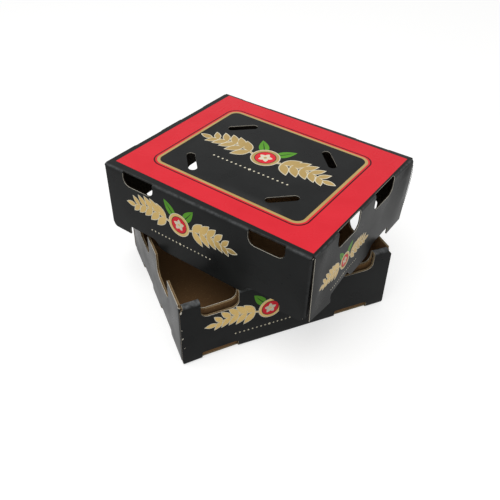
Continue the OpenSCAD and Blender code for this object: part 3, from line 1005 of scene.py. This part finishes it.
# %% Cut edges as lines of even steps
FLUTE_SIZES = ("Board", "Flute pitch", "Flute height", "Flute step", "Paper", "Flute depth")

flutes = bpy.data.node_groups.new("flutes", "GeometryNodeTree")
sockets(flutes, *((size, "Float") for size in FLUTE_SIZES))
given = add_node(flutes, "NodeGroupInput").outputs
cut = add_node(flutes, "GeometryNodeInputNamedAttribute", {"Name": "cut"}, data_type="BOOLEAN")
edge = add_node(flutes, "GeometryNodeMeshToCurve", {"Mesh": given["Geometry"], "Selection": cut.outputs[0]})
edge = add_node(flutes, "GeometryNodeResampleCurve",
                {"Curve": edge.outputs[0], "Length": given["Flute step"]}, mode="LENGTH")
edge = add_node(flutes, "GeometryNodeCurveToMesh", {"Curve": edge.outputs[0]})
print("flutes are set by", ", ".join(FLUTE_SIZES))

# %% Wave of the medium
spot = add_node(flutes, "GeometryNodeInputPosition").outputs[0]
normal = add_node(flutes, "GeometryNodeInputNormal").outputs[0]
known = {"across": add_node(flutes, "ShaderNodeSeparateXYZ", {0: spot}).outputs["X"],
         "facing": add_node(flutes, "ShaderNodeSeparateXYZ", {0: normal}).outputs["Z"],
         "pitch": given["Flute pitch"], "height": given["Flute height"],
         "board": given["Board"], "paper": given["Paper"]}
lay_sums(flutes, known, (
    ("waves", "DIVIDE", "across", "pitch"),
    ("phase", "MULTIPLY", "waves", 2 * math.pi),
    ("sine", "SINE", "phase"),
    ("swing", "MULTIPLY", "sine", "height"),
    ("both", "ADD", "board", "paper"),
    ("drop", "MULTIPLY_ADD", "both", -0.5, "swing"),
    ("facing down", "LESS_THAN", "facing", 0.0)))
dip = add_node(flutes, "ShaderNodeCombineXYZ", {"Z": known["drop"]}).outputs[0]
ribbon = add_node(flutes, "GeometryNodeSetPosition", {"Geometry": edge.outputs[0], "Offset": dip})
print("the wave knows", len(known), "values")

# %% Depth and thickness of the medium
WELD = 1e-6

way = add_node(flutes, "GeometryNodeInputNamedAttribute", {"Name": "inward"}, data_type="FLOAT_VECTOR")
inwards = add_node(flutes, "ShaderNodeVectorMath", {0: way.outputs[0], "Scale": given["Flute depth"]},
                   operation="SCALE").outputs[0]
ribbon = add_node(flutes, "GeometryNodeExtrudeMesh",
                  {"Mesh": ribbon.outputs[0], "Offset": inwards, "Offset Scale": 1.0}, mode="EDGES")
ribbon = add_node(flutes, "GeometryNodeFlipFaces",
                  {"Mesh": ribbon.outputs[0], "Selection": known["facing down"]})
thick = add_node(flutes, "ShaderNodeCombineXYZ", {"Z": given["Paper"]}).outputs[0]
upper = add_node(flutes, "GeometryNodeExtrudeMesh", {
    "Mesh": ribbon.outputs[0], "Offset": thick, "Offset Scale": 1.0, "Individual": False}, mode="FACES")
under = add_node(flutes, "GeometryNodeFlipFaces", {"Mesh": ribbon.outputs[0]})
medium = add_node(flutes, "GeometryNodeJoinGeometry", {0: upper.outputs[0]})
flutes.links.new(under.outputs[0], medium.inputs[0])
medium = add_node(flutes, "GeometryNodeMergeByDistance", {"Geometry": medium.outputs[0], "Distance": WELD})
medium = add_node(flutes, "GeometryNodeStoreNamedAttribute", {
    "Geometry": medium.outputs[0], "Name": "flute", "Value": True}, data_type="BOOLEAN", domain="FACE")
add_node(flutes, "NodeGroupOutput", {"Geometry": medium.outputs[0]})
print("flute group:", len(flutes.nodes), "nodes")

# %% [markdown]
# ## One folding tree for each sheet
# The tree adds the flutes to a flat sheet and folds both together, outermost crease first, as on the real
# make-up line. Then it turns the piece and puts it in its place. Bones could fold the walls too, but a tree
# keeps every size as a named input. Running it gives a plain mesh, in which soft board may still settle.

# %% Tree that flutes and folds a sheet
def folding_tree(name, folds):
    tree = bpy.data.node_groups.new(name, "GeometryNodeTree")
    sizes = (*FLUTE_SIZES, "Fold radius", *(label for label, _, _ in folds))
    sockets(tree, *((size, "Float") for size in sizes), ("Turn", "Rotation"), ("Place", "Vector"),
            ("Medium", "Material"))
    given = add_node(tree, "NodeGroupInput").outputs
    waved = add_node(tree, "GeometryNodeGroup", {key: given[key] for key in ("Geometry", *FLUTE_SIZES)},
                     node_tree=flutes)
    whole = add_node(tree, "GeometryNodeJoinGeometry", {0: given["Geometry"]})
    tree.links.new(waved.outputs[0], whole.inputs[0])
    folded = whole.outputs[0]
    for label, across, flagged in folds:
        folded = add_node(tree, "GeometryNodeGroup", {
            "Geometry": folded, "Across": across, "Start": given[label], "Radius": given["Fold radius"],
            "Walls": flagged}, node_tree=crease).outputs[0]
    stood = add_node(tree, "GeometryNodeTransform",
                     {"Geometry": folded, "Translation": given["Place"], "Rotation": given["Turn"]})
    real = add_node(tree, "GeometryNodeRealizeInstances", {"Geometry": stood.outputs[0]})
    fluted = add_node(tree, "GeometryNodeInputNamedAttribute", {"Name": "flute"}, data_type="BOOLEAN")
    painted = add_node(tree, "GeometryNodeSetMaterial", {
        "Geometry": real.outputs[0], "Selection": fluted.outputs[0], "Material": given["Medium"]})
    add_node(tree, "NodeGroupOutput", {"Geometry": painted.outputs[0]})
    return tree


print("a folding tree has", len(FLUTE_SIZES), "inputs for its flutes")

# %% Folded sheet as a plain mesh
FOLDING_MARKS = ("inward", "cut", "flute", "long_wall", "short_wall", "flap")


def fold_up(flat_piece, tree, sizes):
    """Runs the tree on a flat sheet and returns the result as a mesh, without the marks for folding."""
    folding = flat_piece.modifiers.new("folding", "NODES")
    folding.node_group = tree
    for socket in tree.interface.items_tree:
        if socket.in_out == "INPUT" and socket.name in sizes:
            folding[socket.identifier] = sizes[socket.name]
    depsgraph = bpy.context.evaluated_depsgraph_get()
    mesh = bpy.data.meshes.new_from_object(
        flat_piece.evaluated_get(depsgraph), preserve_all_data_layers=True, depsgraph=depsgraph)
    flat_piece.modifiers.clear()
    bpy.data.objects.remove(flat_piece)
    for key in FOLDING_MARKS:
        if key in mesh.attributes:
            mesh.attributes.remove(mesh.attributes[key])
    return mesh


print("a folded sheet drops", len(FOLDING_MARKS), "marks")

# %% Made-up sheet at rest
SHARP = math.radians(38)


def make_up(flat_piece, tree, sizes, settle):
    """Folds a flat sheet, lets its board settle and returns a plain mesh object of the same name."""
    name = flat_piece.name
    mesh = fold_up(flat_piece, tree, sizes)
    spots = np.empty(len(mesh.vertices) * 3, np.float32)
    mesh.vertices.foreach_get("co", spots)
    mesh.vertices.foreach_set("co", settle(spots.reshape(-1, 3)).astype(np.float32).ravel())
    mesh.polygons.foreach_set("use_smooth", [True] * len(mesh.polygons))
    mesh.set_sharp_from_angle(angle=SHARP)
    mesh.name = name
    piece = bpy.data.objects.new(name, mesh)
    scene.collection.objects.link(piece)
    mesh.calc_loop_triangles()
    print(name, "made up:", len(mesh.loop_triangles), "triangles")
    return piece


print("edges over", round(math.degrees(SHARP)), "degrees stay sharp")

# %% [markdown]
# ## The two boards
# Corrugated board comes in flutes of a few standard sizes. The tray's is a coarse flute between thick liners,
# and the lid's a fine one. Cut edges show the liners as lines, because the waved medium sits back between
# them. Each board could have a function of its own, but both are made the same way, so a board is only a list
# of its sizes and finishes.

# %% Make-up of the boards, in millimetres
# A board's cut finishes are those of the five strips, from the printed face to the inner one
TRAY_BOARD = {"thick": BOARD, "liner": 0.6, "recess": 0.9, "pitch": 6.5, "step": 0.8, "paper": 0.35,
              "fold": FOLD_R, "inside": LINER, "cut": (PALE, EDGE, LINER, EDGE, EDGE), "medium": EDGE}
# The lid's inside, the inner strips of its cut edges and its medium are painted shade, for the deep shade in
# the lid
LID_SHEET = {"thick": LID_BOARD, "liner": 0.55, "recess": 0.9, "pitch": 3.4, "step": 0.5, "paper": 0.2,
             "fold": LID_FOLD_R, "inside": PAINTED_SHADE, "cut": (PALE, PAINTED_SHADE, PAINTED_SHADE, PAINTED_SHADE, PAINTED_SHADE), "medium": PAINTED_SHADE}
FLUTE_OVERLAP = 0.2


def board_sizes(board):
    """Inputs of a folding tree that follow from the board."""
    lengths = {"Board": board["thick"], "Flute pitch": board["pitch"], "Flute step": board["step"],
               "Paper": board["paper"], "Flute depth": board["recess"] + FLUTE_OVERLAP,
               "Flute height": board["thick"] / 2 - board["liner"] - board["paper"] / 2,
               "Fold radius": board["fold"]}
    return {**{key: length * MM for key, length in lengths.items()}, "Medium": FINISHES[board["medium"]]}


print("boards:", TRAY_BOARD["thick"], "mm for the tray and", LID_SHEET["thick"], "mm for the lid")

# %% [markdown]
# ## What a fold needs
# A fold bends smoothly only if the sheet has rows of points across it. Subdividing the whole sheet would give
# them too, with many points to spare. A fold is also where the print wears, and where a sheen of light is
# painted on as a paler colour. So one function gives the rows, and another the wear and painted sheen, from
# none at a fold's ends to most at its middle.

# %% Rows of a fold, and its wear and painted sheen
FOLD_STEPS = 6


def fold_rows(start, run, reach_from, reach_to, swap=False):
    """Lines across a fold at even steps, on both sides of the blank."""
    rows = []
    for k in range(FOLD_STEPS + 1):
        at = start + run * k / FOLD_STEPS
        for s in (1, -1):
            line = [(reach_from, s * at), (reach_to, s * at)]
            rows.append([(y, x) for x, y in line] if swap else line)
    return rows


def fold_wear_and_sheen(at, start, run):
    """One at the middle of a fold, fading to nothing at its two ends."""
    return np.clip(1 - np.abs((np.abs(at) - start) / run - 0.5) * 2, 0, 1)


print("each fold has", FOLD_STEPS, "steps")

# %% [markdown]
# ## How the tray's board lies
# Board never stays dead flat. The rolled-in layer bellies into the tray, the outer layer swells a little, and
# handling has pushed out the front corners at their feet. A cloth simulation could find such forms, but not
# the same ones as in the photo. So they are small bows of the flat sheet and shifts of the made-up one, and
# no fold has to change for them.

# %% The tray's rows
tray_rows = fold_rows(floor_y, FOLD_RUN, -TRAY_L / 2 - OVER, TRAY_L / 2 + OVER)
for start in (rim_fold, inner_fold):
    tray_rows += fold_rows(start, FOLD_RUN, -roll_half - OVER, roll_half + OVER)
tray_rows += fold_rows(floor_x, FOLD_RUN, -flap_from - OVER, flap_from + OVER, swap=True)
for s in (1, -1):
    tray_rows += fold_rows(flap_from, FOLD_RUN, *sorted((s * (flap_low - OVER), s * (short_top + OVER))))
print("tray:", len(tray_rows), "rows across its folds")

# %% The tray's bellies
INNER_BELLY, OUTER_BELLY, BELLY_LOW = 3.2, 0.9, 0.8


def tray_bow(x, y):
    ay = np.abs(y)
    up_inner = np.clip((ay - inner_top) / (inner_end - inner_top), 0, 1)
    up_outer = np.clip((ay - floor_y - FOLD_RUN) / (rim_fold - floor_y - FOLD_RUN), 0, 1)
    middle = np.cos(np.clip(np.pi * x / TRAY_L, -QUARTER, QUARTER))
    belly = INNER_BELLY * np.sin(np.pi * up_inner ** BELLY_LOW) * middle
    swell = OUTER_BELLY * np.sin(np.pi * up_outer) * middle
    return np.where(np.abs(x) <= TRAY_L / 2 + HAIR, belly + swell, 0.0)


print("the rolled-in layers belly by", INNER_BELLY, "mm and the outer ones by", OUTER_BELLY, "mm")

# %% The tray's splayed corners
SPLAY_FROM, SPLAY_MOST, SPLAY_EASE, SPLAY_LIFT = 80.0, 1.05, 1.2, 0.35
LEFT_OUT, LEFT_SIDE, RIGHT_SIDE = 4.5, 2.0, 3.0


def tray_splay(spots):
    """Pushes the two front corners out, most at their feet, where handling has opened them up."""
    x, y, z = spots.T / MM
    along = np.clip((np.abs(x) - SPLAY_FROM) / (TRAY_L / 2 - SPLAY_FROM), 0, SPLAY_MOST) ** SPLAY_EASE
    share = along * np.clip(-y / (TRAY_W / 2), 0, 1)
    left = np.where(x < 0, share * (1 - SPLAY_LIFT * z / TRAY_H), 0)
    foot = np.where(x > 0, share * (1 - z / TRAY_H), 0)
    return np.column_stack((x - LEFT_SIDE * left + RIGHT_SIDE * foot, y - LEFT_OUT * left, z)) * MM


print("the front left corner is pushed out by", LEFT_OUT, "mm")

# %% [markdown]
# ## The tray's walls, and its wear and painted sheen
# A crease folds only the wall that belongs to it, so each point is flagged with its wall. Vertex groups could
# hold that, but a formula needs no painting. The same kind of formula says where the print is paler: rubbed
# along the foot and at the corners, and most over the whole rim, where hands and other boxes touch it and
# where the paler colour is also a painted highlight of the light from above.

# %% The tray's flags, and its wear and painted sheen
# A point on a crease counts as past it
NEAR = 1e-3
# The rim is worn, and its paler colour over the whole top is also a painted highlight of the light from above
RIM_WORN_AND_LIT = 1.7


def tray_flags(x, y):
    ax, ay = np.abs(x) + NEAR, np.abs(y) + NEAR
    short = (ax >= floor_x) & (ay <= flap_from + HAIR) | (ax >= flap_low)
    return {"short_wall": short, "long_wall": (ay >= floor_y) & ~short}


def tray_inked(x, y):
    """The ends of the outer layers are flush with the short walls and were inked with them."""
    return abs(x) > roll_half + PLAY and floor_y + PLAY < abs(y) < rim_fold


def tray_scuff_and_sheen(x, y):
    """A fold wears most at its middle, and the rim evenly over its whole top, where it is a painted highlight
    too.
    """
    rim = np.minimum(2 * fold_wear_and_sheen(y, rim_fold, inner_top - rim_fold), 1) * RIM_WORN_AND_LIT
    folds = np.maximum(fold_wear_and_sheen(y, floor_y, FOLD_RUN), rim)
    ends = fold_wear_and_sheen(x, floor_x, FOLD_RUN)
    return np.maximum(np.where(np.abs(x) <= TRAY_L / 2, folds, 0), np.where(np.abs(y) <= flap_from, ends, 0))


print("the tray's rim is worn", RIM_WORN_AND_LIT, "times as much as a fold")

# %% [markdown]
# ## Folding the tray
# The tray lies print side up while it is flat, so it is folded downwards and then turned over to stand. The
# flaps go first, then the rolled walls from their inner ends, then the short walls. Any other order would
# need creases that are no longer straight lines on a flat sheet.

# %% Tray
AXIS_X, AXIS_Y = (1.0, 0.0, 0.0), (0.0, 1.0, 0.0)

tray_flat = sheet_object("tray_sheet", TRAY_BOARD, (tray_outline, tray_holes, tray_rows, tray_print),
                         {"bow": tray_bow, "flags": tray_flags, "scuff_and_sheen": tray_scuff_and_sheen, "inked": tray_inked})
tray_tree = folding_tree("fold the tray", (
    ("Flap crease", AXIS_Y, "short_wall"), ("Inner crease", AXIS_Y, "long_wall"),
    ("Rim crease", AXIS_Y, "long_wall"), ("Foot crease", AXIS_Y, "long_wall"),
    ("End crease", AXIS_X, "short_wall")))
tray_sheet = make_up(tray_flat, tray_tree, {
    **board_sizes(TRAY_BOARD), "Flap crease": flap_from * MM, "Inner crease": inner_fold * MM,
    "Rim crease": rim_fold * MM, "Foot crease": floor_y * MM, "End crease": floor_x * MM,
    "Turn": (math.pi, 0.0, 0.0), "Place": (0.0, 0.0, 0.0)}, tray_splay)

# %% [markdown]
# ## How the lid's board lies
# The lid's thin board is softer still. The top sags, the long walls swell, and the short walls flare at their
# lower edges, most of all beside the foot at the front right, where the glue has let go and the wall's end
# springs out. At the back the same wall stands out in a round shoulder. Sculpting would do for these, but a
# smooth formula for each can be set to the photo and changed by one number.

# %% The lid's rows
lid_rows = fold_rows(top_y, LID_FOLD_RUN, -top_x - OVER, top_x + OVER)
lid_rows += fold_rows(top_x, LID_FOLD_RUN, -end_half - OVER, end_half + OVER, swap=True)
for s in (1, -1):
    flap_reach = sorted((s * flap_top, s * (long_low + OVER)))
    lid_rows += fold_rows(corner_from, LID_FOLD_RUN, *flap_reach, swap=True)
print("lid:", len(lid_rows), "rows across its folds")

# %% The lid's sag, bellies and flares
TOP_SAG, WALL_BELLY, FLARE = 0.9, 1.2, 1.5
LOOSE_FLARE, LOOSE_AT, LOOSE_WIDTH = 4.0, -78.0, 28.0
SPRING, SPRING_FROM, SPRING_HIGH = 6.5, 92.0, 0.75


def lid_bow(x, y):
    ax, ay = np.abs(x), np.abs(y)
    sag = -TOP_SAG * np.cos(np.pi * x / (2 * top_x)) * np.cos(np.pi * y / (2 * top_y))
    down_long = np.clip((ay - long_wall_from) / (long_low - long_wall_from), 0, 1)
    down_short = np.clip((ax - short_wall_from) / (short_low - short_wall_from), 0, 1)
    belly = WALL_BELLY * down_long * np.cos(np.clip(np.pi * x / (2 * corner_from), -QUARTER, QUARTER))
    loose = np.where(x > 0, LOOSE_FLARE * np.exp(-((y - LOOSE_AT) / LOOSE_WIDTH) ** 2), 0)
    near_end = np.clip((ay - SPRING_FROM) / (end_half - SPRING_FROM), 0, 1) ** 2
    spring = np.where((x > 0) & (y < 0), SPRING * near_end, 0)
    flare = (FLARE + loose) * down_short ** 2 + spring * np.sin(np.pi * down_short ** SPRING_HIGH)
    on_top = (ax <= top_x) & (ay <= top_y)
    on_short = (ax > top_x) & (ay <= end_half + HAIR)
    on_long = (ay > top_y) & (ax <= corner_from + HAIR)
    return np.select([on_top, on_short, on_long], [sag, flare, belly], 0.0)


print("the top sags by", TOP_SAG, "mm, and the loose end springs out by", SPRING, "mm")

# %% The lid's round shoulder
LID_TURN, LID_AT = math.radians(-58.35), (6.6, -0.5)
SHOULDER, SHOULDER_FROM, SHOULDER_HIGH = 5.0, 62.0, 0.5


def lid_shoulder(spots):
    """Lets the right wall stand out round at its back corner, a little below the top."""
    x, y, z = spots.T / MM
    cosine, sine = math.cos(LID_TURN), math.sin(LID_TURN)
    u = (x - LID_AT[0]) * cosine + (y - LID_AT[1]) * sine
    v = (y - LID_AT[1]) * cosine - (x - LID_AT[0]) * sine
    down = np.clip((TRAY_H + LID_H - z) / LID_H, 0, 1)
    along = np.clip((v - SHOULDER_FROM) / (LID_W / 2 - SHOULDER_FROM), 0, 1)
    share = along ** 2 * (3 - 2 * along) * (u > corner_from - LID_FOLD_R)
    out = SHOULDER * share * np.sin(np.pi * down ** SHOULDER_HIGH)
    return np.column_stack((x + out * cosine, y + out * sine, z)) * MM


print("the shoulder stands out by", SHOULDER, "mm")

# %% [markdown]
# ## The lid's walls, and its wear and painted sheen
# The lid's points are flagged in the same way, with the glue flaps as a third kind of wall, and its wear is a
# formula as well. The long folds are paler a little way on to the top, as in the photo: rubbed, and painted
# with the sheen of light on their round. The corners are rubbed only faintly.

# %% The lid's flags, and its wear and painted sheen
# The long folds' wear and painted sheen reach this far on to the top
RUB_AND_SHEEN_PAST, CORNER_RUB = 1.6, 0.3


def lid_flags(x, y):
    ax, ay = np.abs(x) + NEAR, np.abs(y) + NEAR
    short = (ax >= top_x) & (ay <= end_half + HAIR)
    return {"short_wall": short, "long_wall": (ay >= top_y) & ~short,
            "flap": (ay >= long_wall_from + PLAY / 2) & ~short}


def lid_black_cut_ends(x, y):
    """Whether a cut edge lies at the end of a fold beside a corner, where it is drawn black."""
    return abs(x) < short_wall_from and end_half - PLAY < abs(y) < flap_top + PLAY


# The folds are paler: rubbed, and on the long folds also painted with the sheen of light on their round
def lid_scuff_and_sheen(x, y):
    ax, ay = np.abs(x), np.abs(y)
    long = np.where(ax <= top_x, fold_wear_and_sheen(y, top_y - RUB_AND_SHEEN_PAST, LID_FOLD_RUN + RUB_AND_SHEEN_PAST), 0)
    short = np.where(ay <= end_half, fold_wear_and_sheen(x, top_x, LID_FOLD_RUN), 0)
    corner = np.where(ay > long_wall_from, fold_wear_and_sheen(x, corner_from, LID_FOLD_RUN), 0) * CORNER_RUB
    return np.maximum.reduce([long, short, corner])


print("the lid's print is rubbed", RUB_AND_SHEEN_PAST, "mm past its long folds")

# %% [markdown]
# ## Folding the lid
# The lid is folded the same way and stays print side up. Its glue flaps go first, then the long walls, then
# the short walls that close over the flaps. It is set down turned across the tray's rim, as in the photo. The
# object could be turned for that, but the tree does it, so that the object itself stays at the origin.

# %% Lid
lid_flat = sheet_object("lid_sheet", LID_SHEET, (lid_outline, lid_holes, lid_rows, lid_print),
                        {"bow": lid_bow, "flags": lid_flags, "scuff_and_sheen": lid_scuff_and_sheen, "inked": lid_black_cut_ends})
lid_tree = folding_tree("fold the lid", (
    ("Corner crease", AXIS_X, "flap"), ("Long crease", AXIS_Y, "long_wall"),
    ("End crease", AXIS_X, "short_wall")))
lid_sheet = make_up(lid_flat, lid_tree, {
    **board_sizes(LID_SHEET), "Corner crease": corner_from * MM, "Long crease": top_y * MM,
    "End crease": top_x * MM, "Turn": (0.0, 0.0, LID_TURN),
    "Place": (LID_AT[0] * MM, LID_AT[1] * MM, (TRAY_H + LID_H) * MM)}, lid_shoulder)

# %% [markdown]
# ## Handing the pieces to the frame
# Nothing on the box moves, so both sheets ride on its one body. Each stands for its CAD solid, which is
# hidden and stays behind for collision. The pieces could be parented by hand, but a small function parents
# both and keeps their places.

# %% Ride and replace
for piece, node in ((tray_sheet, "tray"), (lid_sheet, "lid")):
    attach(piece, "root")
    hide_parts(node)
